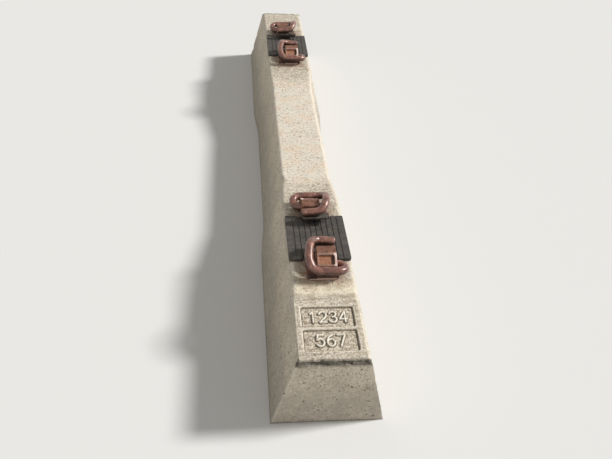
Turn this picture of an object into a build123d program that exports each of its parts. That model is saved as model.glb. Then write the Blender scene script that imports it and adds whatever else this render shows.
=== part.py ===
from build123d import *
import math
import os

# Railway sleeper of prestressed concrete, one casting with four iron shoulders cast into it.
# Each shoulder holds a spring clip, and an insulator lies under the clip's toe.
# Millimetres. X runs across the sleeper, Y along it, Z is up.
# The origin is at the centre of the base, and the end with the two marking fields is at -Y.

# Gauge and foot that the sleeper is made for
track_gauge = 1067.0
rail_head_width = 70.0
rail_foot_width = 140.0
rail_foot_edge = 11.0
rail_foot_slope = 0.25
rail_cant = 1 / 40

# Concrete body
sleeper_length = 1900.0
base_width = 252.0
waist_base_width = 230.0
side_draft = 14.0
end_draft = 2.0
seat_height = 205.0
waist_height = 180.0
seat_reach = 152.0
ramp_length = 34.0
ramp_drop = 13.0
end_fall = 3.0
inner_ramp_length = 170.0
waist_taper_start = 170.0
waist_taper_length = 130.0
edge_chamfer = 6.0
trim_allowance = 10.0

# Marking fields, two shallow pockets on top of the near end
field_start = 217.0
field_width = 119.0
field_length = 60.5
field_rib = 5.0
field_depth = 4.5
field_corner = 6.0
field_wall_draft = 25.0
field_count = 2

# Pad, a grooved sheet with an ear beside each shoulder
pad_thickness = 8.0
pad_width = 148.0
pad_edge_gap = 0.5
pad_ear_reach = 84.0
pad_ear_gap = 2.0
pad_corner = 4.0
groove_count = 9
groove_width = 3.0
groove_depth = 1.5
groove_pitch = 14.0

# Shoulder, with distances measured outwards from the seat's centre line
shoulder_face = 78.0
plate_reach = 150.0
plate_width = 72.0
plate_proud = 3.0
plate_sunk = 6.0
plate_corner = 8.0
wall_width = 68.0
wall_height = 21.0
wall_thickness = 10.0
housing_left = 14.0
housing_right = 32.0
housing_height = 44.0
housing_lip = 108.0
housing_foot = 134.0
housing_foot_height = 28.0
housing_round = 4.0
recess_depth = 5.0
recess_border = 4.0
recess_left_rib = 3.5
recess_right_rib = 5.5
recess_corner = 3.0
ledge_reach = 149.0
ledge_cover = 2.0
ledge_round = 3.0
stem_width = 22.0
stem_length = 38.0
stem_depth = 112.0
stem_tip = 0.7
stem_foot_width = 46.0
stem_foot_thickness = 12.0

# Spring clip, one bent bar
bar_diameter = 20.0
leg_reach = 112.0
leg_height = 15.0
leg_end = 22.0
leg_clearance = 0.4
rear_bend_right = 50.0
heel_reach = 147.5
heel_height = 24.0
heel_clearance = 0.3
toe_reach = 56.0
toe_end = 34.0
toe_flat = 1.2
toe_clearance = 0.1
heel_left = 24.0
heel_rise = 2.0
arch_left = 34.5
arch_lean = 6.0
arch_outer_inset = 22.0
arch_outer_height = 43.0
arch_inner_inset = 28.0
arch_crown = 56.0
toe_left = 18.0
toe_rise = 5.0
arch_radii = (22.0, 40.0, 40.0, 26.0)
bend_trim = 0.99
bar_end_chamfer = 2.0

# Insulator, a flange over the seat's edge with a post against the shoulder
flange_thickness = 6.0
flange_reach = 44.0
flange_width = 62.0
insulator_gap = 0.3
insulator_ear = 4.5
insulator_ear_reach = 85.0
insulator_ear_height = 17.0
insulator_round = 1.5

# Places worked out from the driving dimensions
rail_place = (track_gauge + rail_head_width) / 2
cant_angle = math.degrees(math.atan(rail_cant))
half_foot = rail_foot_width / 2
beyond_end = sleeper_length / 2 + trim_allowance
bar_radius = bar_diameter / 2
draft_slope = math.tan(math.radians(side_draft))
end_slope = math.tan(math.radians(end_draft))
outer_seat_height = seat_height + seat_reach * rail_cant
inner_seat_height = seat_height - seat_reach * rail_cant
crease_place = rail_place + seat_reach + ramp_length
crease_height = outer_seat_height - ramp_drop
end_height = crease_height - end_fall
end_place = sleeper_length / 2 - end_height * end_slope
end_fall_slope = end_fall / (end_place - crease_place)
end_fall_angle = math.degrees(math.atan(end_fall_slope))
foot_top = pad_thickness + rail_foot_edge
slope_stretch = math.hypot(1, rail_foot_slope)


def outward(distance):
    """Y in a fastening's own frame, where the seat's centre is at 0 and outwards is -Y."""
    return -distance


def foot_height(distance):
    """Top of the clamped foot at a distance from the seat's centre line."""
    return foot_top + (half_foot - distance) * rail_foot_slope


toe_stack = flange_thickness + toe_clearance + bar_radius - toe_flat
toe_height = foot_height(toe_reach) + toe_stack * slope_stretch
rear_bend_radius = math.hypot(heel_reach - leg_reach, heel_height - leg_height) / 2
ledge_height = heel_height - bar_radius - heel_clearance + ledge_cover


def between(points, place):
    """A value read off a chain of (place, value) points joined by straight lines."""
    for (start, low), (end, high) in zip(points, points[1:]):
        if place <= end:
            return low + (high - low) * (place - start) / (end - start)


def top_line():
    """Height of the top from the middle to the end: waist, inner ramp, canted seat, outer ramp, low end."""
    return [
        (0, waist_height),
        (rail_place - seat_reach - inner_ramp_length, waist_height),
        (rail_place - seat_reach, inner_seat_height),
        (rail_place + seat_reach, outer_seat_height),
        (crease_place, crease_height),
        (beyond_end, crease_height - (beyond_end - crease_place) * end_fall_slope),
    ]


def base_line():
    """Half the width of the base from the middle to the end, with its narrower waist."""
    taper_outer = rail_place - waist_taper_start
    return [
        (0, waist_base_width / 2),
        (taper_outer - waist_taper_length, waist_base_width / 2),
        (taper_outer, base_width / 2),
        (beyond_end, base_width / 2),
    ]


def cross_section(place):
    """The sleeper cut across: drafted sides and chamfered top edges, reaching below the base."""
    top = between(top_line(), abs(place))
    half_base = between(base_line(), abs(place))
    corners = [
        (half_base + trim_allowance * draft_slope, -trim_allowance),
        (half_base - (top - edge_chamfer) * draft_slope, top - edge_chamfer),
        (half_base - top * draft_slope - edge_chamfer, top),
    ]
    plane = Plane(origin=(0, place, 0), x_dir=(1, 0, 0), z_dir=(0, -1, 0))
    return plane * make_face(Polyline(*corners, *[(-x, z) for x, z in reversed(corners)], close=True))


def concrete_block():
    """The whole casting: sections joined by straight faces, cut flat below and to its drafted ends."""
    places = {place for place, _ in top_line() + base_line() if place > 0}
    sections = [cross_section(place) for place in sorted(places | {-place for place in places})]
    half_outline = [
        (sleeper_length / 2, 0),
        (end_place, end_height - edge_chamfer),
        (end_place - edge_chamfer, end_height),
        (end_place - edge_chamfer, 2 * seat_height),
    ]
    outline = half_outline + [(-y, z) for y, z in reversed(half_outline)]
    side_view = extrude(Plane.YZ * make_face(Polyline(*outline, close=True)), amount=base_width, both=True)
    return loft(sections, ruled=True) & side_view


def field_cutter(place):
    """One marking field, with drafted walls, cut down into the near end's sloping top."""
    height = crease_height - (place - crease_place) * end_fall_slope
    top = Plane(origin=(0, -place, height), x_dir=(1, 0, 0), z_dir=(0, 0, 1)).rotated((end_fall_angle, 0, 0))
    mouth = RectangleRounded(field_width, field_length, field_corner)
    return extrude(top * mouth, amount=-field_depth, taper=field_wall_draft)


def place_fastening(shape, rail_side, shoulder_side):
    """Moves a shape from its fastening's own frame to one side of one canted seat."""
    seat = Location((0, rail_side * rail_place, seat_height), (rail_side * cant_angle, 0, 0))
    turn = Location((0, 0, 0), (0, 0, 90 + 90 * shoulder_side))
    return seat * turn * shape


def cast_in_part():
    """The shoulder's base plate and stem, which are the part that the concrete holds."""
    plate_length = plate_reach - shoulder_face
    plate_middle = outward((plate_reach + shoulder_face) / 2)
    outline = Pos(0, plate_middle, -plate_sunk) * Rectangle(plate_width, plate_length)
    plate = extrude(outline, amount=plate_sunk + plate_proud)
    front = plate.edges().filter_by(Axis.Z).group_by(Axis.Y)[0]
    plate = fillet(front, plate_corner)
    stem_top = Pos(0, plate_middle, -plate_sunk) * Rectangle(stem_width, stem_length)
    stem_bottom = Pos(0, plate_middle, -stem_depth) * Rectangle(stem_width * stem_tip, stem_length * stem_tip)
    stem = loft([stem_top, stem_bottom], ruled=True)
    foot = Pos(0, plate_middle, -stem_depth + stem_foot_thickness / 2) * Box(
        stem_foot_width, stem_length * stem_tip, stem_foot_thickness
    )
    foot = chamfer(foot.edges().filter_by(Axis.Y).group_by(Axis.Z)[-1], stem_foot_thickness / 2)
    return plate + stem + foot


def sleeper_body():
    body = concrete_block()
    for i in range(field_count):
        place = rail_place + field_start + field_length / 2 + i * (field_length + field_rib)
        body -= field_cutter(place)
    for rail_side in (-1, 1):
        for shoulder_side in (-1, 1):
            body -= place_fastening(cast_in_part(), rail_side, shoulder_side)
    return body


def rail_pad():
    """Pad with an ear at each corner, which reaches past the insulators beside the shoulders."""
    sheet = Rectangle(pad_width, rail_foot_width - 2 * pad_edge_gap)
    ear_inner = wall_width / 2 + insulator_gap + insulator_ear + pad_ear_gap
    ear_width = pad_width / 2 - ear_inner
    ears = [
        Pos(side * (ear_inner + ear_width / 2), 0) * Rectangle(ear_width, 2 * pad_ear_reach)
        for side in (-1, 1)
    ]
    sheet = sheet + ears
    outer = sheet.vertices().filter_by(lambda v: abs(v.Y) > half_foot)
    pad = extrude(fillet(outer, pad_corner), amount=pad_thickness)
    groove = Box(groove_width, 2 * pad_ear_reach, 2 * groove_depth)
    for place in GridLocations(groove_pitch, 1, groove_count, 1):
        pad -= place * Pos(0, 0, pad_thickness) * groove
    return pad


def housing():
    """The shoulder's head: a block round the clip's leg, with a ledge outside it for the heel."""
    outline = [
        (outward(shoulder_face), 0),
        (outward(shoulder_face), housing_height),
        (outward(housing_lip), housing_height),
        (outward(housing_foot), housing_foot_height),
        (outward(housing_foot), ledge_height),
        (outward(ledge_reach), ledge_height),
        (outward(ledge_reach), 0),
    ]
    length = housing_left + housing_right
    block = extrude(Plane.YZ * make_face(Polyline(*outline, close=True)), amount=length)
    block = Pos(-housing_left, 0, 0) * block
    lengthwise = block.edges().filter_by(Axis.X)
    block = fillet(lengthwise.group_by(Axis.Z)[-1], housing_round)
    ledge_edge = block.edges().filter_by(Axis.X).group_by(Axis.Y)[0]
    block = fillet(ledge_edge.group_by(Axis.Z)[-1], ledge_round)
    bore = Cylinder(bar_radius + leg_clearance, 4 * length)
    cradle = Cylinder(bar_radius + heel_clearance, 4 * length)
    block -= Pos(0, outward(leg_reach), leg_height) * Rot(0, 90, 0) * bore
    block -= Pos(0, outward(heel_reach), heel_height) * Rot(0, 90, 0) * cradle
    return block - housing_recess()


def housing_recess():
    """Shallow pocket in the housing's sloping top, which leaves a lip above it and a rib at each end."""
    fall = housing_height - housing_foot_height
    run = housing_foot - housing_lip
    height = math.hypot(fall, run) - 2 * recess_border
    left = recess_left_rib - housing_left
    right = housing_right - recess_right_rib
    middle = outward((housing_lip + housing_foot) / 2)
    face = Plane(
        origin=((left + right) / 2, middle, (housing_height + housing_foot_height) / 2),
        x_dir=(1, 0, 0),
        z_dir=(0, outward(fall), run),
    )
    mouth = RectangleRounded(right - left, height, recess_corner)
    return extrude(face * mouth, amount=recess_depth, both=True)


def shoulder():
    wall = Pos(0, outward(shoulder_face + wall_thickness / 2), wall_height / 2) * Box(
        wall_width, wall_thickness, wall_height
    )
    return cast_in_part() + wall + housing()


def clip_path():
    """Centre line of the bar: leg in the shoulder, rear bend, heel, high front arch, toe."""
    points = [
        (-leg_end, leg_reach, leg_height),
        (rear_bend_right, leg_reach, leg_height),
        (rear_bend_right, heel_reach, heel_height),
        (-heel_left, heel_reach, heel_height + heel_rise),
        (-arch_left, heel_reach - arch_outer_inset, arch_outer_height),
        (arch_lean - arch_left, toe_reach + arch_inner_inset, arch_crown),
        (-toe_left, toe_reach, toe_height + toe_rise),
        (toe_end, toe_reach, toe_height),
    ]
    radii = [rear_bend_radius * bend_trim] * 2 + list(arch_radii)
    return FilletPolyline([(x, outward(reach), z) for x, reach, z in points], radius=radii)


def clip():
    path = clip_path()
    section = Plane(path @ 0, z_dir=path % 0) * Circle(bar_radius)
    bar = sweep(section, path=path)
    ends = [f for f in bar.faces() if f.geom_type == GeomType.PLANE]
    bar = chamfer(ShapeList(e for f in ends for e in f.edges()), bar_end_chamfer)
    flat_height = bar_radius - toe_flat
    tool = Box(2 * toe_end, 2 * bar_diameter, bar_diameter)
    tool = Pos(toe_end, 0, -flat_height - bar_radius) * tool
    tilt = math.degrees(math.atan(rail_foot_slope))
    return bar - Location((0, outward(toe_reach), toe_height), (tilt, 0, 0)) * tool


def insulator():
    """Flange along the sloping foot, post down to the seat, and an ear past each end of the wall."""
    thick = flange_thickness * slope_stretch
    back = shoulder_face - insulator_gap
    front = half_foot + insulator_gap
    outline = [
        (outward(flange_reach), foot_height(flange_reach)),
        (outward(front), foot_height(front)),
        (outward(front), 0),
        (outward(back), 0),
        (outward(back), foot_height(back) + thick),
        (outward(flange_reach), foot_height(flange_reach) + thick),
    ]
    piece = extrude(Plane.YZ * make_face(Polyline(*outline, close=True)), amount=flange_width / 2, both=True)
    corner = piece.edges().filter_by(Axis.Z).group_by(Axis.Y)[-1]
    piece = fillet(corner, insulator_round)
    ear_inner = wall_width / 2 + insulator_gap
    ear_length = insulator_ear_reach - front
    ear_height = insulator_ear_height - plate_proud - insulator_gap
    for side in (-1, 1):
        ear = Pos(
            side * (ear_inner + insulator_ear / 2),
            outward(front + ear_length / 2),
            plate_proud + insulator_gap + ear_height / 2,
        ) * Box(insulator_ear, ear_length, ear_height)
        bridge_width = ear_inner - flange_width / 2
        bridge = Pos(
            side * (flange_width / 2 + bridge_width / 2),
            outward((front + back) / 2),
            plate_proud + insulator_gap + ear_height / 2,
        ) * Box(bridge_width, back - front, ear_height)
        piece = piece + ear + bridge
    return piece


def write(name, shape):
    export_step(shape, f"parts/{name}.step")


def main():
    os.makedirs("parts", exist_ok=True)
    write("sleeper_body", sleeper_body())
    sides = {-1: "near", 1: "far"}
    pieces = {"shoulder": shoulder(), "spring_clip": clip(), "insulator": insulator()}
    for rail_side, rail_name in sides.items():
        write(f"rail_pad_{rail_name}", place_fastening(rail_pad(), rail_side, -1))
        for shoulder_side in (-1, 1):
            place_name = "outer" if shoulder_side == rail_side else "inner"
            for name, piece in pieces.items():
                placed = place_fastening(piece, rail_side, shoulder_side)
                write(f"{name}_{rail_name}_{place_name}", placed)


main()
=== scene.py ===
"""Looks of a concrete railway sleeper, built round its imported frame. Metres, Y along the sleeper, Z up."""
import math
import bmesh
import bpy
import numpy as np
from mathutils import Matrix, Vector


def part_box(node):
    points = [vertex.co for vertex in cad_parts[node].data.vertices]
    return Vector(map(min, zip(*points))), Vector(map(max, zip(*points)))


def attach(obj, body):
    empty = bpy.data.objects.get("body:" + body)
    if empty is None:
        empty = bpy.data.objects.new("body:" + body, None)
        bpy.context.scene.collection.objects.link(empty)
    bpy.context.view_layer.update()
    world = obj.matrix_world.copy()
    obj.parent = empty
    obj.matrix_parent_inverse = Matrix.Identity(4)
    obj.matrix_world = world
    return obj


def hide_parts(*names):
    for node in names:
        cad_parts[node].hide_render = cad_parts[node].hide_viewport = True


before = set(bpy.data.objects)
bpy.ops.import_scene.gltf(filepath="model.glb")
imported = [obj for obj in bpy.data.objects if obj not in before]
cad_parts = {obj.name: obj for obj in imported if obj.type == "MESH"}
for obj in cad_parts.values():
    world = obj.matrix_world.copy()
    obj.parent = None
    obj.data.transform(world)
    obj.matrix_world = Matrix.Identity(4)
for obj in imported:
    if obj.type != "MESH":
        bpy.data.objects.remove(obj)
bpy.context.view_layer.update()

# Concrete body, with the same driving sizes as the CAD solid
body_low, body_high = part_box("sleeper_body")
half_length = (body_high.y - body_low.y) / 2
half_base = (body_high.x - body_low.x) / 2
half_waist_base = 0.115
seat_place = 0.5685
seat_reach = 0.152
ramp_length = 0.034
inner_ramp_length = 0.170
waist_height = 0.180
inner_seat_height = 0.2012
outer_seat_height = 0.2088
crease_place = seat_place + seat_reach + ramp_length
crease_height = outer_seat_height - 0.013
end_height = crease_height - 0.003
taper_outer = seat_place - 0.170
taper_inner = taper_outer - 0.130
side_slope = math.tan(math.radians(14))
end_slope = math.tan(math.radians(2))
edge_chamfer = 0.006
end_place = half_length - end_height * end_slope

# Marking fields and their raised figures
field_start = seat_place + 0.217
field_size = (0.119, 0.0605)
field_rib = 0.005
field_depth = 0.0045
field_corner = 0.006
field_wall_slope = 1 / math.tan(math.radians(25))
field_lip_round = 0.0004
field_foot_round = 0.0006
# The next two place the painted highlight round the fields' rims.
field_rim_reach = (0.0010, 0.0034)
field_rim_margin = 0.0006
figure_height = 0.030
figure_width = 0.0165
figure_pitch = 0.0225
figure_stroke = 0.0044
figure_round = 0.0007
figure_rise = 0.0036
figure_rows = ("1234", "567")
screw_place = 0.051
screw_radius = 0.0042
screw_round = (0.0008, 0.0006)
screw_slot = (0.0003, 0.0012)
screw_rise = 0.0014
# The next three set the dark band round the figures' feet, the screw heads and the field walls: dirt and
# painted shade.
screw_grime_and_shade = 0.75
grime_and_shade_reach = 0.0030
grime_and_shade_margin = 0.0004

# Mesh of the concrete
cell_along = 0.0062
cell_across = 0.0056
cell_up = 0.0062
chamfer_cells = 3
field_zone_margin = 0.012
field_zone_cuts = 4
end_zone_foot = 0.03
end_zone_cuts = 1
end_lean_reach = 0.06

# Skin of the concrete: the depth of each relief, the cell of its noise, its seed and its layers
skin_reliefs = ((0.0003, 0.09, 3, 3), (0.00025, 0.018, 7, 3), (0.00018, 0.005, 11, 2))
field_relief_skin = (0.00030, 0.0042, 13, 2)
field_skin_stretch = (0.7, 1.3, 1)
underside_relief = (0.0016, 0.022, 41, 4)

# Chips: where in the noise they begin and are whole, how deep they go, and how far from the edge they reach
long_edge_chips = ((0.18, 0.62), 0.0036, (0.002, 0.011))
end_edge_chips = ((-0.15, 0.5), 0.0042, (0.002, 0.012))
corner_chips = ((0.0, 0.6), 0.0050, (0.003, 0.016))
corner_chip_foot = (0.004, 0.035)

# Reach of the dirt, wear and painted shade that the masks hold: where each is whole, and where it has faded
# out
crease_dirt_reach = (0.0, 0.011)
# Reach of the dark band along the ends' top edges: mossy dirt and painted shade.
end_dirt_and_shade_reach = (0.004, 0.013)
ramp_reach = (-0.004, 0.002)
bleached_reach = (-0.15, -0.06)
edge_wear_reach = (0.003, 0.010)
buried_reach = (0.05, 0.16)
rust_stain_reach = (0.0, 0.030)

# Shoulders and clips, measured outwards from the seat's centre line
plate_inner = 0.078
plate_outer = 0.150
plate_half_width = 0.036
plate_proud = 0.003
plate_edge_width = 0.0016
seat_cant = 1 / 40
seat_height = 0.205
housing_slope = ((0.108, 0.044), (0.134, 0.028))  # from its upper edge to its lower one
housing_sides = (-0.014, 0.032)
recess_border = 0.004
recess_ribs = (0.0035, 0.0055)
recess_depth = 0.005
housing_margin = 0.001
# Width of the painted shadow beside the pocket's end rib.
rib_shadow_reach = (0.0095, 0.0050)
ledge_edge = (0.0030, 0.0014)
ledge_rise = (0.0015, 0.0040)
ledge_foot = (0.008, 0.002)
# The next two are the shares of the painted highlight on the rim away from the end rib, and on the plate's
# edge.
quiet_rim = 0.18
quiet_plate_edge = 0.5
# How far round the clip's underside its painted shade reaches, by how far each face leans downwards.
underside_shade_reach = (-0.60, 0.40)

# Finer copies of the fastenings' nodes: node, piece, cell, smoothing passes, rough skin (depth, cell), slot
fastening_kinds = (
    ("shoulder", "cast_shoulder", 0.0010, 1, (0.00022, 0.006), "shoulder_iron"),
    ("spring_clip", "bent_clip", 0.0012, 3, (0.00018, 0.008), "clip_steel"),
    ("insulator", "moulded_insulator", 0.0010, 3, (0.00005, 0.010), "insulator_nylon"),
)

# Colours as they look on screen, 0 to 255
concrete_tones = {
    "cement": (214, 201, 181),
    "darker_cement": (196, 184, 166),
    "paler_cement": (226, 216, 198),
    "dirt_across": (154, 142, 122),
    "runs_down": (158, 150, 135),
    "washed_ramp": (253, 239, 210),
    "pale_ramp": (255, 243, 217),
    "dark_sand": (126, 112, 92),
    "pale_sand": (236, 228, 212),
    "dark_mottle": (142, 126, 104),
    "pale_mottle": (244, 235, 217),
    "earth_across": (160, 143, 114),
    "bleached": (237, 228, 212),
    "bleached_warm": (236, 216, 192),
    "dark_speck": (98, 88, 74),
    "pale_speck": (238, 232, 220),
    "pit": (110, 94, 72),
    "field_floor": (238, 225, 203),
    # Dark band round the figures' feet and along the field walls: dirt and painted shade.
    "grime_and_shade": (62, 52, 40),
    # The next two are painted highlights: on the figures' tops, with some wear, and on the fields' rims.
    "figure_top_highlight": (250, 241, 224),
    "field_rim_highlight": (240, 230, 210),
    "worn_edge": (218, 208, 190),
    "crease_dirt": (126, 110, 86),
    # Dark band along the ends' top edges: mossy dirt and painted shade where the edge turns from the light.
    "moss_and_shade": (52, 49, 39),
    "once_buried": (162, 154, 142),
    "rust_stain": (150, 108, 80),
    "pore": (118, 106, 88),
}
clip_tones = {
    "dark_rust": (98, 55, 43),
    "rust": (144, 92, 74),
    "dark_fleck": (66, 37, 29),
    "pale_fleck": (196, 148, 126),
    # Painted shade on the clip's lower sides.
    "painted_shade": (48, 29, 24),
}
iron_tones = {
    "rust": (134, 92, 73),
    "dark_rust": (104, 70, 57),
    "orange_fleck": (168, 118, 88),
    "dark_fleck": (80, 54, 44),
    # Painted shadow on the ledge under the clip's heel.
    "painted_shade": (54, 38, 32),
    "dark_powder": (144, 94, 68),
    "pale_powder": (190, 138, 104),
    # Painted shadow beside the pocket's end rib.
    "rib_shadow": (58, 38, 30),
    # Painted highlight on the housing's end rib, rim and plate edge, with some wear.
    "wear_and_highlight": (240, 216, 204),
}
nylon_tones = {"nylon": (62, 60, 58), "dust": (128, 112, 96), "rust_dust": (122, 82, 60)}
rubber_tones = {"rubber": (54, 52, 51), "dust": (112, 103, 92), "rust_dust": (112, 82, 64)}
floor_tone = (233, 232, 229)
floor_reach = 40.0

# Studio light: a key from the right, a weak fill from the front left, and an even surround for the rest
key_direction = (0.80, 0.12, 0.64)
key_softness = 0.16
fill_direction = (-0.25, -0.85, 0.50)
fill_softness = 1.2
fill_level = 0.05
surround_level = 0.38

# View of the photograph: where its camera stood, and how far it leans and turns
photo_camera = Vector((-0.1967, -1.7544, 1.2121))
photo_pitch = 0.5749
photo_yaw = -0.0018
photo_roll = -0.0007
photo_focal = 465.23
photo_size = (612, 459)
sleeper_middle_in_photo = (358, 283)
closer = 1.37
sensor_width = 36.0


def srgb(red, green, blue):
    """A colour given as 0 to 255 on screen, as linear light with alpha."""
    screen = [c / 255 for c in (red, green, blue)]
    return [c / 12.92 if c <= 0.04045 else ((c + 0.055) / 1.055) ** 2.4 for c in screen] + [1.0]


def linear_tones(tones):
    """A table of screen colours as linear ones."""
    return {name: srgb(*tone) for name, tone in tones.items()}


floor_colour = srgb(*floor_tone)


def lattice_value(corner, seed):
    """A repeatable number from 0 to 1 for each corner of a lattice."""
    mixed = (corner @ np.array([374761393, 668265263, 1440662683]) + seed * 1274126177) & 0xFFFFFFFF
    mixed = ((mixed ^ (mixed >> 13)) * 1274126177) & 0xFFFFFFFF
    return ((mixed ^ (mixed >> 16)) & 0xFFFF) / 0xFFFF


def smooth_noise(points, cell, seed):
    """Random hills and hollows about one cell wide, from -1 to 1."""
    scaled = points / cell
    corner = np.floor(scaled).astype(np.int64)
    share = scaled - corner
    share = share * share * (3 - 2 * share)
    total = np.zeros(len(points))
    for step in np.ndindex(2, 2, 2):
        weight = np.prod(np.where(step, share, 1 - share), axis=1)
        total += weight * lattice_value(corner + np.array(step), seed)
    return 2 * total - 1


def layered_noise(points, cell, seed, layers=3):
    """Noise with finer, weaker layers on top, from about -1 to 1."""
    total = sum(smooth_noise(points, cell / 2**i, seed + i) / 2**i for i in range(layers))
    return total / (2 - 2 ** (1 - layers))


def smoothstep(low, high, value):
    share = np.clip((value - low) / (high - low), 0, 1)
    return share * share * (3 - 2 * share)


def within(distance, full, last):
    """1 up to the full distance, fading to 0 at the last."""
    return 1 - smoothstep(full, last, distance)


def relief(points, depth, cell, seed, layers):
    """A rough relief that only goes inwards, by up to twice its depth."""
    return depth * (1 + layered_noise(points, cell, seed, layers))


def top_height(place):
    """Height of the sleeper's top at a distance from its middle."""
    marks = [
        0, seat_place - seat_reach - inner_ramp_length, seat_place - seat_reach,
        seat_place + seat_reach, crease_place, end_place,
    ]
    heights = [waist_height, waist_height, inner_seat_height, outer_seat_height, crease_height, end_height]
    return np.interp(np.abs(place), marks, heights)


def base_half_width(place):
    marks = [taper_inner, taper_outer]
    return np.interp(np.abs(place), marks, [half_waist_base, half_base])


def stations(marks, step):
    """Places along a line that pass through every mark, about one step apart."""
    spans = [
        np.linspace(a, b, max(1, round((b - a) / step)), endpoint=False) for a, b in zip(marks, marks[1:])
    ]
    return np.append(np.concatenate(spans), marks[-1])


def body_rows():
    marks = [
        seat_place - seat_reach - inner_ramp_length, taper_inner, taper_outer, seat_place - seat_reach,
        seat_place + seat_reach, crease_place, half_length - edge_chamfer,
    ]
    chamfer = [half_length - edge_chamfer * (1 - i / chamfer_cells) for i in range(1, chamfer_cells + 1)]
    half = np.append(stations([0] + marks, cell_along), chamfer)
    return np.concatenate([-half[:0:-1], half])


def body_columns():
    """Across the top: (side, share of the chamfer climbed, share of the flat's half width)."""
    flat_cells = round(2 * (half_base - end_height * side_slope) / cell_across)
    chamfer = [(i / chamfer_cells, 1.0) for i in range(chamfer_cells)]
    flat = [(1.0, 2 * i / flat_cells - 1) for i in range(flat_cells + 1)]
    left = [(climb, -1.0) for climb, _ in chamfer]
    right = [(climb, 1.0) for climb, _ in reversed(chamfer)]
    return np.array(left + flat + right)


def body_lattice(rows, columns, levels):
    """The box lattice bent to the sleeper: an array of points, by column, row and level."""
    climb = columns[:, 0][:, None, None]
    flat = columns[:, 1][:, None, None]
    row = rows[None, :, None]
    level = levels[None, None, :]
    near_end = np.clip((np.abs(row) - half_length + end_lean_reach) / end_lean_reach, 0, 1)
    top = top_height(np.abs(row) - near_end * end_height * end_slope)
    base = base_half_width(row)
    outer = base - (top - edge_chamfer) * side_slope
    inner = base - top * side_slope - edge_chamfer
    end_drop = np.clip(edge_chamfer - (half_length - np.abs(row)), 0, None)
    top_x = (outer + (inner - outer) * climb) * np.where(climb < 1, np.sign(flat), flat)
    top_z = np.minimum(top - edge_chamfer * (1 - climb), top - end_drop)
    x = top_x * (base / outer) * (1 - level) + top_x * level
    z = top_z * level
    y = row - np.sign(row) * near_end * z * end_slope
    return np.stack([x, y + 0 * x, z + 0 * x], axis=-1)


def lattice_skin(points):
    """Vertices and quads over the six sides of a box lattice."""
    shape = points.shape[:3]
    inside = np.zeros(shape, bool)
    inside[1:-1, 1:-1, 1:-1] = True
    number = np.full(shape, -1)
    number[~inside] = np.arange((~inside).sum())
    sides = []
    for axis in range(3):
        for end in (0, -1):
            side = np.take(number, end, axis=axis)
            corners = [side[:-1, :-1], side[1:, :-1], side[1:, 1:], side[:-1, 1:]]
            sides.append(np.stack([c.ravel() for c in corners], axis=1))
    return points[~inside], np.concatenate(sides)


def points_and_normals(mesh):
    """The places and normals of a mesh's vertices, one row each."""
    read = {}
    for kind in ("co", "normal"):
        values = np.empty(len(mesh.vertices) * 3)
        mesh.vertices.foreach_get(kind, values)
        read[kind] = values.reshape(-1, 3)
    return read["co"], read["normal"]


def move_points(mesh, points):
    mesh.vertices.foreach_set("co", points.ravel())
    mesh.update()


def mesh_from(name, vertices, faces):
    mesh = bpy.data.meshes.new(name)
    mesh.from_pydata(vertices.tolist(), [], faces.tolist())
    return mesh


def add_piece(name, mesh, material):
    piece = bpy.data.objects.new(name, mesh)
    bpy.context.scene.collection.objects.link(piece)
    mesh.materials.clear()
    mesh.materials.append(material)
    mesh.shade_smooth()
    return piece


def refine(work, wanted, cuts):
    """Splits the faces that are wanted into finer ones."""
    faces = [f for f in work.faces if wanted(f)]
    edges = list({e for f in faces for e in f.edges})
    bmesh.ops.subdivide_edges(work, edges=edges, cuts=cuts, use_grid_fill=True)


def arc(centre, radii, start, end, steps=14):
    """Points on part of an ellipse, with angles in degrees, anticlockwise from the right."""
    angles = np.radians(np.linspace(start, end, steps))
    return [(centre[0] + radii[0] * math.cos(a), centre[1] + radii[1] * math.sin(a)) for a in angles]


def figure_strokes():
    """Centre lines of the figures 1 to 7, in a box one wide and one high."""
    return {
        "1": [[(0.24, 0.80), (0.56, 1.0), (0.56, 0.0)]],
        "2": [arc((0.5, 0.70), (0.48, 0.30), 165, -38) + [(0.06, 0.0), (1.0, 0.0)]],
        "3": [arc((0.46, 0.75), (0.44, 0.25), 160, -90), arc((0.46, 0.26), (0.50, 0.26), 90, -160)],
        "4": [[(0.74, 0.0), (0.74, 1.0), (0.0, 0.30), (1.0, 0.30)]],
        "5": [[(0.92, 1.0), (0.16, 1.0), (0.08, 0.56)] + arc((0.46, 0.32), (0.50, 0.32), 128, -155)],
        "6": [arc((0.5, 0.31), (0.47, 0.31), 0, 360, 24), arc((0.95, 0.42), (0.92, 0.58), 190, 105)],
        "7": [[(0.0, 1.0), (1.0, 1.0), (0.36, 0.0)]],
    }


def distance_to_line(x, y, line):
    """Distance from each point to a chain of straight pieces."""
    nearest = np.full(len(x), 1.0)
    for (ax, ay), (bx, by) in zip(line, line[1:]):
        dx, dy = bx - ax, by - ay
        share = np.clip(((x - ax) * dx + (y - ay) * dy) / (dx * dx + dy * dy), 0, 1)
        nearest = np.minimum(nearest, np.hypot(x - ax - share * dx, y - ay - share * dy))
    return nearest


def field_middle(row):
    """Distance of a field's middle from the middle of the sleeper."""
    return field_start + field_size[1] / 2 + row * (field_size[1] + field_rib)


def figures_distance(x, y, row):
    """Distance from each point to the centre lines of one row of figures."""
    text = figure_rows[row]
    strokes = figure_strokes()
    nearest = np.full(len(x), 1.0)
    for i, figure in enumerate(text):
        left = (i - (len(text) - 1) / 2) * figure_pitch - figure_width / 2
        for line in strokes[figure]:
            placed = [
                (left + u * figure_width, -field_middle(row) + (v - 0.5) * figure_height) for u, v in line
            ]
            nearest = np.minimum(nearest, distance_to_line(x, y, placed))
    return nearest


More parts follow.
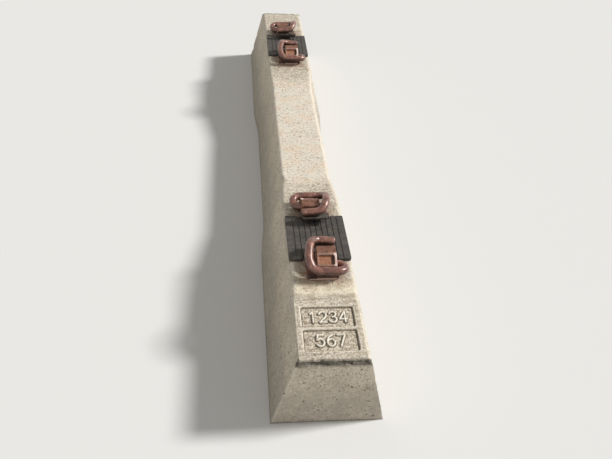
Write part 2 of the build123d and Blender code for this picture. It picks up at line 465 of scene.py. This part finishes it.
def figure_relief(x, y, row):
    """Height of one field's figures and screw heads over its floor, and the dirt and painted shade round
    their feet.
    """
    half = figure_stroke / 2
    nearest = figures_distance(x, y, row)
    raised = figure_rise * within(nearest, half - figure_round, half + figure_round)
    grime_and_shade = within(nearest, half, half + grime_and_shade_reach) * (nearest > half - grime_and_shade_margin)
    down = y + field_middle(row)
    for side in (-1, 1):
        across = x - side * screw_place
        reach = np.hypot(across, down)
        head = within(reach, screw_radius - screw_round[0], screw_radius + screw_round[1])
        cross = smoothstep(*screw_slot, np.minimum(np.abs(across), np.abs(down)))
        raised = np.maximum(raised, screw_rise * head * cross)
        foot = screw_grime_and_shade * within(reach - screw_radius, 0, 0.6 * grime_and_shade_reach) * (reach > screw_radius)
        grime_and_shade = np.maximum(grime_and_shade, foot)
    return raised, grime_and_shade


def field_relief(points):
    """Depth of the two fields, less what stands up in them, and the masks that colour them."""
    x, y = points[:, 0], points[:, 1]
    depth = np.zeros(len(points))
    masks = {name: np.zeros(len(points)) for name in ("grime_and_shade", "field_floor", "figure_tops", "field_rim_highlight")}
    half_x, half_y = field_size[0] / 2 - field_corner, field_size[1] / 2 - field_corner
    wall = field_depth / field_wall_slope
    for row in range(len(figure_rows)):
        out_x = np.abs(x) - half_x
        out_y = np.abs(y + field_middle(row)) - half_y
        beyond_corner = np.hypot(np.maximum(out_x, 0), np.maximum(out_y, 0))
        outside = beyond_corner + np.minimum(np.maximum(out_x, out_y), 0)
        inwards = field_corner - outside
        floor = smoothstep(-field_lip_round, wall + field_foot_round, inwards)
        on_floor = floor > 0.9
        raised, feet = figure_relief(x, y, row)
        depth = np.maximum(depth, floor * field_depth - raised * on_floor)
        # Dirt and painted shade along the inside of the field walls.
        corner = within(inwards, wall, wall + grime_and_shade_reach) * smoothstep(0.3 * wall, wall, inwards)
        found = {
            "grime_and_shade": np.maximum(corner, feet * on_floor),
            "field_floor": floor - np.clip(raised / figure_rise, 0, 1) * on_floor,
            "figure_tops": smoothstep(0.55, 0.95, raised / figure_rise) * on_floor,
            "field_rim_highlight": within(-inwards, *field_rim_reach) * (inwards < field_rim_margin),
        }
        for name, values in found.items():
            masks[name] = np.maximum(masks[name], values)
    return depth, masks


def edge_distance(points):
    """Distance to the nearest outer edge: along the top, at the ends, and up the end corners."""
    x, y, z = np.abs(points[:, 0]), np.abs(points[:, 1]), points[:, 2]
    top = top_height(y)
    top_edge = base_half_width(y) - top * side_slope - edge_chamfer / 2
    long_edge = np.hypot(x - top_edge, z - top + edge_chamfer / 2)
    end_edge = np.hypot(y - end_place + edge_chamfer / 2, z - end_height + edge_chamfer / 2)
    corner = np.hypot(x - half_base + z * side_slope, y - half_length + z * end_slope)
    return long_edge, end_edge, corner


def fastening_frames():
    """The four fastenings: (end of the sleeper, side of its seat, name)."""
    names = {(-1, -1): "near_outer", (-1, 1): "near_inner", (1, -1): "far_inner", (1, 1): "far_outer"}
    return [(end, side, name) for (end, side), name in names.items()]


def plate_distance(points):
    """Distance outside the nearest of the four shoulder plates, seen from above."""
    nearest = np.full(len(points), 1.0)
    for end, side, _ in fastening_frames():
        reach = side * (points[:, 1] - end * seat_place)
        out_y = np.maximum(plate_inner - reach, reach - plate_outer)
        out_x = np.abs(points[:, 0]) - plate_half_width
        nearest = np.minimum(nearest, np.hypot(np.maximum(out_x, 0), np.maximum(out_y, 0)))
    return nearest


def fastening_points(points, end, side):
    """The points in a fastening's own frame: across the sleeper, outwards from the seat, and up from it."""
    cant = math.atan(seat_cant)
    y, z = end * (points[:, 1] - end * seat_place), points[:, 2] - seat_height
    up = z * math.cos(cant) - y * math.sin(cant)
    out = z * math.sin(cant) + y * math.cos(cant)
    return -side * points[:, 0], end * side * out, up


def ledge_mask(out, up):
    """The ledge under the clip's heel, where its painted shadow goes, without the plate's edge, which keeps
    its painted highlight.
    """
    foot, bottom = housing_slope[1]
    ledge = np.maximum(
        within(out - plate_outer, -ledge_edge[0], -ledge_edge[1]),
        smoothstep(plate_proud + ledge_rise[0], plate_proud + ledge_rise[1], up),
    )
    before_slope = smoothstep(foot - ledge_foot[0], foot - ledge_foot[1], out)
    return ledge * before_slope * (up < bottom - housing_margin)


def housing_masks(points, end, side):
    """A housing's shallow pocket, the painted shadow in its corner by the end rib, the rim and plate edge
    with their painted highlight, and the ledge with its painted shadow.
    """
    along, out, up = fastening_points(points, end, side)
    (lip, top), (foot, bottom) = housing_slope
    length = math.hypot(foot - lip, top - bottom)
    lean, rise = (foot - lip) / length, (top - bottom) / length
    out_from_middle, up_from_middle = out - (lip + foot) / 2, up - (top + bottom) / 2
    behind = -(out_from_middle * rise + up_from_middle * lean)
    slope_place = np.abs(up_from_middle * rise - out_from_middle * lean)
    low, high = housing_sides[0] + recess_ribs[0], housing_sides[1] - recess_ribs[1]
    inside = (slope_place < length / 2 - recess_border) & (along > low) & (along < high)
    hollow = smoothstep(0.3 * recess_depth, 0.8 * recess_depth, behind) * inside
    on_face = (np.abs(behind) < 0.3 * recess_depth) & (slope_place < length / 2 + recess_border)
    on_face &= (along > housing_sides[0]) & (along < housing_sides[1] + housing_margin)
    # The end rib takes the full painted highlight, the rest of the rim a quieter share.
    rim = on_face * np.where(along > high - housing_margin, 1.0, quiet_rim)
    plate_edge = (np.abs(up - plate_proud) < plate_edge_width) & (out > plate_outer - plate_edge_width)
    return {
        "hollow": hollow * (behind < 1.4 * recess_depth),
        "rib_shadow": hollow * smoothstep(high - rib_shadow_reach[0], high - rib_shadow_reach[1], along),
        "rim": np.maximum(rim, quiet_plate_edge * plate_edge),
        "heel_shadow": ledge_mask(out, up),
    }


def store(mesh, name, values):
    """Keeps a mask in the mesh, one number for each vertex."""
    attribute = mesh.attributes.new(name, "FLOAT", "POINT")
    attribute.data.foreach_set("value", values.astype(np.float32))


def in_field_zone(face):
    return face.normal.z > 0.5 and face.calc_center_median().y < -crease_place - field_zone_margin


def on_near_end(face):
    return face.normal.y < -0.9 and face.calc_center_median().z > end_zone_foot


def concrete_body(material):
    levels = np.linspace(0, 1, round(end_height / cell_up) + 1)
    mesh = mesh_from("concrete_body", *lattice_skin(body_lattice(body_rows(), body_columns(), levels)))
    work = bmesh.new()
    work.from_mesh(mesh)
    bmesh.ops.recalc_face_normals(work, faces=work.faces)
    refine(work, in_field_zone, field_zone_cuts)
    refine(work, on_near_end, end_zone_cuts)
    bmesh.ops.triangulate(work, faces=[f for f in work.faces if len(f.verts) > 4])
    work.normal_update()
    work.to_mesh(mesh)
    work.free()
    points, normals = points_and_normals(mesh)
    paint_masks(mesh, points, normals)
    move_points(mesh, weathered(points, normals))
    return add_piece("concrete_body", mesh, material)


def chipped(noise, edge, chips):
    """Depth that one kind of chips takes off near its edge."""
    noise_range, depth, reach = chips
    return smoothstep(*noise_range, noise) * depth * within(edge, *reach)


def weathered(points, normals):
    """The points moved inwards by fields, chips, unevenness and the rough underside."""
    long_edge, end_edge, corner = edge_distance(points)
    y, z = points[:, 1], points[:, 2]
    on_field_face = (y < -crease_place) & (normals[:, 2] > 0.5)
    recess = np.where(on_field_face, field_relief(points)[0], 0)
    skin = sum(relief(points, *kind) for kind in skin_reliefs)
    skin += relief(points * np.array(field_skin_stretch), *field_relief_skin) * on_field_face
    chip_noise = layered_noise(points, 0.030, seed=21, layers=4)
    end_noise = layered_noise(points, 0.016, seed=31, layers=4)
    chips = np.maximum(
        chipped(chip_noise, long_edge, long_edge_chips), chipped(end_noise, end_edge, end_edge_chips)
    )
    chips = np.maximum(chips, chipped(chip_noise, corner, corner_chips) * smoothstep(*corner_chip_foot, z))
    underside = smoothstep(0.7, 0.95, -normals[:, 2])
    depth = skin + chips + relief(points, *underside_relief) * underside
    moved = points - normals * depth[:, None]
    moved[:, 2] -= recess * smoothstep(0.5, 0.8, normals[:, 2])
    return moved


def wear_masks(points, upward):
    """Where dirt, wear and rust lie on the concrete, by name."""
    long_edge, end_edge, corner = edge_distance(points)
    from_middle = np.abs(points[:, 1])
    streaks = layered_noise(points * np.array([1, 3, 1]), 0.02, seed=51)
    from_crease = np.abs(from_middle - crease_place - 0.002) + 0.003 * streaks
    from_ramp = np.abs(from_middle - crease_place + ramp_length / 2) - ramp_length / 2
    from_seats = from_middle - seat_place + seat_reach + 0.03 * layered_noise(points, 0.06, seed=101)
    from_end = end_edge + 0.004 * layered_noise(points, 0.012, seed=61)
    any_edge = np.minimum(np.minimum(long_edge, end_edge), corner)
    height = points[:, 2] + 0.02 * layered_noise(points, 0.05, seed=71)
    from_plate = plate_distance(points) + 0.010 * layered_noise(points, 0.02, seed=81)
    return {
        "crease_dirt": within(from_crease, *crease_dirt_reach) * upward,
        # Dark band along the ends' top edges: mossy dirt and painted shade.
        "end_edge_dirt_and_shade": within(from_end, *end_dirt_and_shade_reach),
        "ramp": within(from_ramp, *ramp_reach) * upward,
        "bleached": within(from_seats, *bleached_reach) * upward,
        "edge_wear": within(any_edge, *edge_wear_reach),
        "once_buried": within(height, *buried_reach) * (1 - upward),
        "rust_stain": within(from_plate, *rust_stain_reach) * upward,
    }


def paint_masks(mesh, points, normals):
    """Masks that the concrete's material mixes its colours by."""
    upward = smoothstep(0.4, 0.8, normals[:, 2])
    on_field_face = (points[:, 1] < -crease_place) & (normals[:, 2] > 0.5)
    store(mesh, "facing_up", upward)
    for name, values in field_relief(points)[1].items():
        store(mesh, name, np.where(on_field_face, values, 0))
    for name, values in wear_masks(points, upward).items():
        store(mesh, name, values)


def finer_copy(node, name, cell, smoothing, skin, material):
    """A finer copy of a CAD node, with softened edges and a rough skin, shown in its place."""
    piece = bpy.data.objects.new(name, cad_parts[node].data.copy())
    bpy.context.scene.collection.objects.link(piece)
    remesh = piece.modifiers.new("remesh", "REMESH")
    remesh.mode = "VOXEL"
    remesh.voxel_size = cell
    soften = piece.modifiers.new("soften", "SMOOTH")
    soften.factor = 0.5
    soften.iterations = smoothing
    bpy.context.view_layer.update()
    evaluated = piece.evaluated_get(bpy.context.evaluated_depsgraph_get())
    mesh = bpy.data.meshes.new_from_object(evaluated)
    bpy.data.objects.remove(piece)
    mesh.name = name
    points, normals = points_and_normals(mesh)
    skin_depth, skin_cell = skin
    rough = skin_depth * (layered_noise(points, skin_cell, seed=91) - 0.6)
    move_points(mesh, points + normals * rough[:, None])
    made = add_piece(name, mesh, material)
    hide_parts(node)
    return made


class Finish:
    """A Principled material under construction, with short calls for the nodes that the finishes share."""

    def __init__(self, name):
        self.material = bpy.data.materials.new(name)
        self.material.use_nodes = True
        self.tree = self.material.node_tree
        self.shader = self.tree.nodes["Principled BSDF"]
        self.place = self.tree.nodes.new("ShaderNodeTexCoord").outputs["Object"]

    def link(self, source, socket):
        self.tree.links.new(source, socket)

    def stretched(self, scale):
        """The object's own places, with each axis scaled, so that a texture looks drawn out along one."""
        mapping = self.tree.nodes.new("ShaderNodeMapping")
        mapping.inputs["Scale"].default_value = scale
        self.link(self.place, mapping.inputs["Vector"])
        return mapping.outputs["Vector"]

    def noise(self, scale, detail=4.0, roughness=0.6, place=None):
        """Noise with about this many cells a metre, mostly from 0.3 to 0.7."""
        node = self.tree.nodes.new("ShaderNodeTexNoise")
        node.inputs["Scale"].default_value = scale
        node.inputs["Detail"].default_value = detail
        node.inputs["Roughness"].default_value = roughness
        self.link(place or self.place, node.inputs["Vector"])
        return node.outputs["Fac"]

    def cells(self, scale):
        """Many small cells: a random number in each, and the distance from its middle."""
        node = self.tree.nodes.new("ShaderNodeTexVoronoi")
        node.inputs["Scale"].default_value = scale
        self.link(self.place, node.inputs["Vector"])
        split = self.tree.nodes.new("ShaderNodeSeparateColor")
        self.link(node.outputs["Color"], split.inputs["Color"])
        return split.outputs["Red"], node.outputs["Distance"]

    def dots(self, scale, share, radius):
        """Round spots scattered through space: one in each of a share of the cells."""
        number, distance = self.cells(scale)
        chosen = self.spread(number, share, share + 0.01, 1.0, 0.0)
        spot = self.spread(distance, 0.6 * radius, radius, 1.0, 0.0)
        return self.calculate("MULTIPLY", chosen, spot)

    def mask(self, name):
        node = self.tree.nodes.new("ShaderNodeAttribute")
        node.attribute_name = name
        return node.outputs["Fac"]

    def spread(self, value, low, high, bottom=0.0, top=1.0):
        """The value stretched so that low to high becomes bottom to top."""
        node = self.tree.nodes.new("ShaderNodeMapRange")
        node.interpolation_type = "SMOOTHSTEP"
        node.inputs["From Min"].default_value = low
        node.inputs["From Max"].default_value = high
        node.inputs["To Min"].default_value = bottom
        node.inputs["To Max"].default_value = top
        self.link(value, node.inputs["Value"])
        return node.outputs["Result"]

    def calculate(self, operation, first, second):
        node = self.tree.nodes.new("ShaderNodeMath")
        node.operation = operation
        for socket, value in zip(node.inputs, (first, second)):
            if isinstance(value, float):
                socket.default_value = value
            else:
                self.link(value, socket)
        return node.outputs["Value"]

    def mix(self, share, first, second):
        """Mixes two colours, each a list of numbers or another node's output."""
        node = self.tree.nodes.new("ShaderNodeMix")
        node.data_type = "RGBA"
        self.link(share, node.inputs["Factor"])
        for socket, value in ((node.inputs[6], first), (node.inputs[7], second)):
            if isinstance(value, list):
                socket.default_value = value
            else:
                self.link(value, socket)
        return node.outputs[2]

    def layer(self, under, over, *shares):
        """One colour laid over another, as far as the product of the shares allows."""
        share = shares[0]
        for other in shares[1:]:
            share = self.calculate("MULTIPLY", share, other)
        return self.mix(share, under, over)

    def bump(self, height, distance, strength=1.0, under=None):
        node = self.tree.nodes.new("ShaderNodeBump")
        node.inputs["Distance"].default_value = distance
        node.inputs["Strength"].default_value = strength
        self.link(height, node.inputs["Height"])
        if under:
            self.link(under, node.inputs["Normal"])
        return node.outputs["Normal"]

    def finish(self, colour, roughness, normal):
        self.link(colour, self.shader.inputs["Base Color"])
        self.link(roughness, self.shader.inputs["Roughness"])
        self.link(normal, self.shader.inputs["Normal"])
        return self.material


def cement_colour(f, tone, up, pale):
    """Blotches, dirt drawn across the top, runs down the sides, and the washed ramps."""
    blotches = f.spread(f.noise(14.0, 5.0), 0.35, 0.68)
    colour = f.mix(blotches, tone["cement"], tone["darker_cement"])
    across = f.noise(9.0, 6.0, 0.7, f.stretched((1.0, 9.0, 1.0)))
    colour = f.layer(colour, tone["dirt_across"], up, f.spread(across, 0.50, 0.70, 0.0, 0.75))
    colour = f.layer(colour, tone["paler_cement"], f.spread(pale, 0.54, 0.72, 0.0, 0.55))
    runs = f.noise(20.0, 5.0, 0.7, f.stretched((1.0, 1.0, 0.12)))
    down = f.calculate("SUBTRACT", 1.0, up)
    colour = f.layer(colour, tone["runs_down"], down, f.spread(runs, 0.50, 0.72, 0.0, 0.55))
    washed = f.noise(40.0, 4.0, 0.6, f.stretched((1.0, 0.2, 1.0)))
    return f.layer(colour, tone["washed_ramp"], f.mask("ramp"), f.spread(washed, 0.38, 0.60, 0.65, 1.0))


def sand_colour(f, tone, up, sand, mottle, colour):
    """Grains of sand and the mottle between them, and the tops that the weather has bleached."""
    colour = f.layer(colour, tone["dark_sand"], f.spread(sand, 0.32, 0.49, 0.75, 0.0))
    colour = f.layer(colour, tone["pale_sand"], f.spread(sand, 0.53, 0.66, 0.0, 0.6))
    on_top = f.spread(up, 0.0, 1.0, 0.4, 1.0)
    colour = f.layer(colour, tone["dark_mottle"], on_top, f.spread(mottle, 0.38, 0.49, 0.6, 0.0))
    colour = f.layer(colour, tone["pale_mottle"], on_top, f.spread(mottle, 0.51, 0.60, 0.0, 0.75))
    earth = f.noise(26.0, 5.0, 0.7, f.stretched((1.0, 5.0, 1.0)))
    colour = f.layer(colour, tone["earth_across"], up, f.spread(earth, 0.50, 0.62, 0.0, 0.65))
    colour = f.layer(colour, tone["pale_ramp"], f.mask("ramp"), 0.25)
    clean = f.mix(f.spread(f.noise(22.0, 4.0), 0.42, 0.68), tone["bleached"], tone["bleached_warm"])
    return f.layer(colour, clean, f.mask("bleached"), f.spread(mottle, 0.36, 0.54, 0.3, 0.85))


def speck_colour(f, tone, colour):
    """Dark specks that gather in places, and a few pale ones."""
    specks, _ = f.cells(290.0)
    gathered = f.spread(f.noise(30.0, 3.0), 0.42, 0.62, 0.05, 0.7)
    colour = f.layer(colour, tone["dark_speck"], gathered, f.spread(specks, 0.91, 0.95))
    return f.layer(colour, tone["pale_speck"], f.spread(specks, 0.03, 0.07, 0.45, 0.0))


def field_colour(f, tone, soil, mottle, colour):
    """Pitted floors of the marking fields, dirt and painted shade at the figures' feet and along the field
    walls, and painted highlights on the figures' tops, with some wear, and on the fields' rims.
    """
    pits = f.spread(f.noise(230.0, 5.0, 0.8), 0.40, 0.58)
    pitted = f.mix(pits, tone["pit"], tone["field_floor"])
    colour = f.layer(colour, pitted, f.mask("field_floor"), f.spread(soil, 0.34, 0.62, 0.55, 0.9))
    # Dirt and painted shade round the figures' feet and along the field walls.
    colour = f.layer(colour, tone["grime_and_shade"], f.mask("grime_and_shade"), f.spread(soil, 0.30, 0.60, 0.6, 0.95))
    # Painted highlights on the figures' tops, with some wear, and on the fields' rims.
    wear_and_highlight = f.spread(mottle, 0.35, 0.55, 0.5, 1.0)
    colour = f.layer(colour, tone["figure_top_highlight"], f.mask("figure_tops"), wear_and_highlight)
    return f.layer(colour, tone["field_rim_highlight"], f.mask("field_rim_highlight"), f.spread(mottle, 0.35, 0.55, 0.2, 0.85))


def dirt_colour(f, tone, soil, pale, colour):
    """Worn edges, dirt in the creases, mossy dirt and painted shade on the ends' top edges, soiled sides,
    and rust by the iron.
    """
    colour = f.layer(colour, tone["worn_edge"], f.mask("edge_wear"), f.spread(pale, 0.30, 0.60, 0.25, 0.75))
    washed_in = f.spread(soil, 0.42, 0.64, 0.0, 0.5)
    colour = f.layer(colour, tone["crease_dirt"], f.mask("crease_dirt"), washed_in)
    # Mossy dirt and painted shade along the ends' top edges.
    end_band_share = f.spread(f.noise(110.0, 4.0, 0.7), 0.34, 0.56, 0.65, 0.9)
    colour = f.layer(colour, tone["moss_and_shade"], f.mask("end_edge_dirt_and_shade"), end_band_share)
    soiled = f.spread(soil, 0.30, 0.66, 0.25, 0.8)
    colour = f.layer(colour, tone["once_buried"], f.mask("once_buried"), soiled)
    return f.layer(colour, tone["rust_stain"], f.mask("rust_stain"), f.spread(soil, 0.34, 0.62, 0.2, 0.75))


def concrete_finish():
    """Pale weathered concrete with sand in it, specks, pores, dirt, wear on the edges, and painted shade and
    highlights in the marking fields and along the ends' top edges.
    """
    f = Finish("weathered_concrete")
    tone = linear_tones(concrete_tones)
    up = f.mask("facing_up")
    pale = f.noise(24.0, 5.0, 0.65, f.stretched((1.0, 1.0, 0.25)))
    sand = f.noise(300.0, 4.0, 0.75, f.stretched((0.7, 1.0, 1.0)))
    mottle = f.noise(140.0, 5.0, 0.8)
    soil = f.noise(70.0, 5.0, 0.7)
    colour = cement_colour(f, tone, up, pale)
    colour = sand_colour(f, tone, up, sand, mottle, colour)
    colour = speck_colour(f, tone, colour)
    colour = field_colour(f, tone, soil, mottle, colour)
    colour = dirt_colour(f, tone, soil, pale, colour)
    pores = f.calculate("MAXIMUM", f.dots(70.0, 0.07, 0.27), f.dots(170.0, 0.10, 0.36))
    pores = f.calculate("MULTIPLY", pores, f.spread(up, 0.0, 1.0, 0.85, 0.45))
    colour = f.layer(colour, tone["pore"], pores)
    fine = f.bump(sand, 0.0008, 1.0, f.bump(mottle, 0.0012))
    normal = f.bump(f.calculate("SUBTRACT", 1.0, pores), 0.0015, 0.8, fine)
    return f.finish(colour, f.spread(sand, 0.3, 0.7, 0.82, 0.96), normal)


def clip_finish():
    """Purple-brown rust on bent spring steel, worn paler in patches, with painted shade on its lower sides.
    """
    f = Finish("rusty_spring_steel")
    tone = linear_tones(clip_tones)
    patches = f.noise(60.0, 5.0, 0.65)
    colour = f.mix(f.spread(patches, 0.36, 0.66), tone["dark_rust"], tone["rust"])
    colour = f.layer(colour, tone["dark_fleck"], f.spread(f.noise(170.0, 4.0, 0.7), 0.53, 0.71, 0.0, 0.65))
    colour = f.layer(colour, tone["pale_fleck"], f.spread(f.noise(95.0, 3.0), 0.54, 0.68, 0.0, 0.5))
    # Painted shade on the clip's lower sides.
    colour = f.layer(colour, tone["painted_shade"], f.mask("underneath"), f.spread(patches, 0.3, 0.6, 0.7, 0.95))
    normal = f.bump(f.noise(700.0, 3.0, 0.7), 0.0003, 0.7)
    f.shader.inputs["Metallic"].default_value = 0.1
    f.shader.inputs["Coat Weight"].default_value = 0.6
    f.shader.inputs["Coat Roughness"].default_value = 0.34
    return f.finish(colour, f.spread(patches, 0.3, 0.7, 0.26, 0.46), normal)


def iron_finish():
    """Rust on cast iron: orange powder in the pocket, painted shadow in its corner, painted highlight with
    some wear on the rim and plate edge, and painted shadow on the ledge.
    """
    f = Finish("rusty_cast_iron")
    tone = linear_tones(iron_tones)
    patches = f.noise(48.0, 5.0, 0.65)
    colour = f.mix(f.spread(patches, 0.36, 0.66), tone["rust"], tone["dark_rust"])
    colour = f.layer(colour, tone["orange_fleck"], f.spread(f.noise(130.0, 4.0, 0.7), 0.52, 0.70, 0.0, 0.6))
    colour = f.layer(colour, tone["dark_fleck"], f.spread(f.noise(210.0, 4.0, 0.7), 0.56, 0.70, 0.0, 0.85))
    # Painted shadow on the ledge under the clip's heel.
    colour = f.layer(colour, tone["painted_shade"], f.mask("heel_shadow"), f.spread(patches, 0.3, 0.6, 0.6, 0.95))
    crust = f.spread(f.noise(260.0, 5.0, 0.75), 0.36, 0.62)
    powder = f.mix(crust, tone["dark_powder"], tone["pale_powder"])
    colour = f.layer(colour, powder, f.mask("hollow"), f.spread(patches, 0.3, 0.6, 0.7, 0.95))
    # Painted shadow beside the pocket's end rib.
    corner = f.spread(patches, 0.3, 0.6, 0.75, 0.95)
    colour = f.layer(colour, tone["rib_shadow"], f.mask("rib_shadow"), corner)
    # Painted highlight on the housing's end rib, rim and plate edge, with some wear.
    colour = f.layer(colour, tone["wear_and_highlight"], f.mask("rim"), f.spread(patches, 0.3, 0.6, 0.6, 1.0))
    normal = f.bump(f.noise(520.0, 3.0, 0.75), 0.0005, 0.8)
    f.shader.inputs["Metallic"].default_value = 0.15
    return f.finish(colour, f.spread(patches, 0.3, 0.7, 0.62, 0.85), normal)


def nylon_finish():
    """Dark moulded nylon with dust in its corners."""
    f = Finish("dusty_nylon")
    tone = linear_tones(nylon_tones)
    dust = f.noise(70.0, 5.0, 0.65)
    colour = f.mix(f.spread(dust, 0.40, 0.70, 0.0, 0.7), tone["nylon"], tone["dust"])
    colour = f.layer(colour, tone["rust_dust"], f.spread(f.noise(150.0, 4.0), 0.58, 0.72, 0.0, 0.6))
    normal = f.bump(f.noise(380.0, 3.0), 0.0002, 0.6)
    return f.finish(colour, f.spread(dust, 0.3, 0.7, 0.45, 0.75), normal)


def rubber_finish():
    """Black rubber gone grey, with dust and flecks of rust on it."""
    f = Finish("dusty_rubber")
    tone = linear_tones(rubber_tones)
    dust = f.noise(80.0, 6.0, 0.75, f.stretched((0.5, 1.0, 1.0)))
    colour = f.mix(f.spread(dust, 0.34, 0.70, 0.0, 0.6), tone["rubber"], tone["dust"])
    colour = f.layer(colour, tone["rust_dust"], f.spread(f.noise(150.0, 4.0, 0.7), 0.58, 0.74, 0.0, 0.5))
    normal = f.bump(f.noise(500.0, 3.0), 0.0002, 0.6)
    return f.finish(colour, f.spread(dust, 0.3, 0.7, 0.6, 0.9), normal)


def build_fastenings():
    finishes = {"shoulder": iron_finish(), "spring_clip": clip_finish(), "insulator": nylon_finish()}
    for end, side, place in fastening_frames():
        for node, name, cell, smoothing, skin, slot in fastening_kinds:
            node_name, piece_name = f"{node}_{place}", f"{name}_{place}"
            made = finer_copy(node_name, piece_name, cell, smoothing, skin, finishes[node])
            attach(made, "root")
            points, normals = points_and_normals(made.data)
            # Downward-facing faces, where the clip's painted shade goes.
            store(made.data, "underneath", smoothstep(*underside_shade_reach, -normals[:, 2]))
            for mask, values in housing_masks(points, end, side).items():
                store(made.data, mask, values)


def dress_pads():
    rubber = rubber_finish()
    for place in ("near", "far"):
        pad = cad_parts[f"rail_pad_{place}"]
        pad.data.materials.clear()
        pad.data.materials.append(rubber)


def make_stage():
    mesh = bpy.data.meshes.new("floor")
    corners = [(x * floor_reach, y * floor_reach, 0) for x, y in ((-1, -1), (1, -1), (1, 1), (-1, 1))]
    mesh.from_pydata(corners, [], [(0, 1, 2, 3)])
    floor = bpy.data.objects.new("floor", mesh)
    bpy.context.scene.collection.objects.link(floor)
    material = bpy.data.materials.new("pale_floor")
    material.use_nodes = True
    shader = material.node_tree.nodes["Principled BSDF"]
    shader.inputs["Base Color"].default_value = floor_colour
    shader.inputs["Roughness"].default_value = 1.0
    shader.inputs["Specular IOR Level"].default_value = 0.0
    mesh.materials.append(material)


def add_sun(name, direction, softness, level):
    """A soft distant lamp that gives a level face this share of full light."""
    data = bpy.data.lights.new(name, "SUN")
    data.angle = softness
    towards = Vector(direction).normalized()
    data.energy = math.pi * level / towards.z
    lamp = bpy.data.objects.new(name, data)
    lamp.rotation_mode = "QUATERNION"
    lamp.rotation_quaternion = towards.to_track_quat("Z", "Y")
    bpy.context.scene.collection.objects.link(lamp)


def light_stage():
    """Key, fill and surround, which together light a level face fully."""
    add_sun("key", key_direction, key_softness, 1 - surround_level * floor_colour[1] - fill_level)
    add_sun("fill", fill_direction, fill_softness, fill_level)
    world = bpy.data.worlds.new("studio")
    bpy.context.scene.world = world
    world.use_nodes = True
    nodes, links = world.node_tree.nodes, world.node_tree.links
    background = nodes["Background"]
    background.inputs["Color"].default_value = floor_colour
    rays = nodes.new("ShaderNodeLightPath")
    seen = rays.outputs["Is Camera Ray"]
    for kind in ("Is Glossy Ray", "Is Transmission Ray"):
        either = nodes.new("ShaderNodeMath")
        either.operation = "MAXIMUM"
        links.new(seen, either.inputs[0])
        links.new(rays.outputs[kind], either.inputs[1])
        seen = either.outputs["Value"]
    level = nodes.new("ShaderNodeMapRange")
    level.inputs["To Min"].default_value = surround_level
    level.inputs["To Max"].default_value = 1.0
    links.new(seen, level.inputs["Value"])
    links.new(level.outputs["Result"], background.inputs["Strength"])


def make_camera():
    """A camera where the photograph's stood, turned to the sleeper's middle, with a longer lens."""
    data = bpy.data.cameras.new("camera")
    camera = bpy.data.objects.new("camera", data)
    bpy.context.scene.collection.objects.link(camera)
    yaw = Matrix.Rotation(-photo_yaw, 4, "Z")
    pitch = Matrix.Rotation(math.pi / 2 - photo_pitch, 4, "X")
    roll = Matrix.Rotation(photo_roll, 4, "Z")
    across = sleeper_middle_in_photo[0] - photo_size[0] / 2
    down = sleeper_middle_in_photo[1] - photo_size[1] / 2
    ahead = Vector((across, -down, -photo_focal))
    towards = Vector((0, 0, -1)).rotation_difference(ahead).to_matrix().to_4x4()
    camera.matrix_world = Matrix.Translation(photo_camera) @ yaw @ pitch @ roll @ towards
    data.sensor_width = sensor_width
    data.lens = closer * photo_focal * sensor_width / photo_size[0]
    bpy.context.scene.camera = camera


body = concrete_body(concrete_finish())
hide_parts("sleeper_body")
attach(body, "root")
build_fastenings()
dress_pads()
make_stage()
light_stage()
make_camera()
bpy.context.scene.view_settings.view_transform = "Standard"
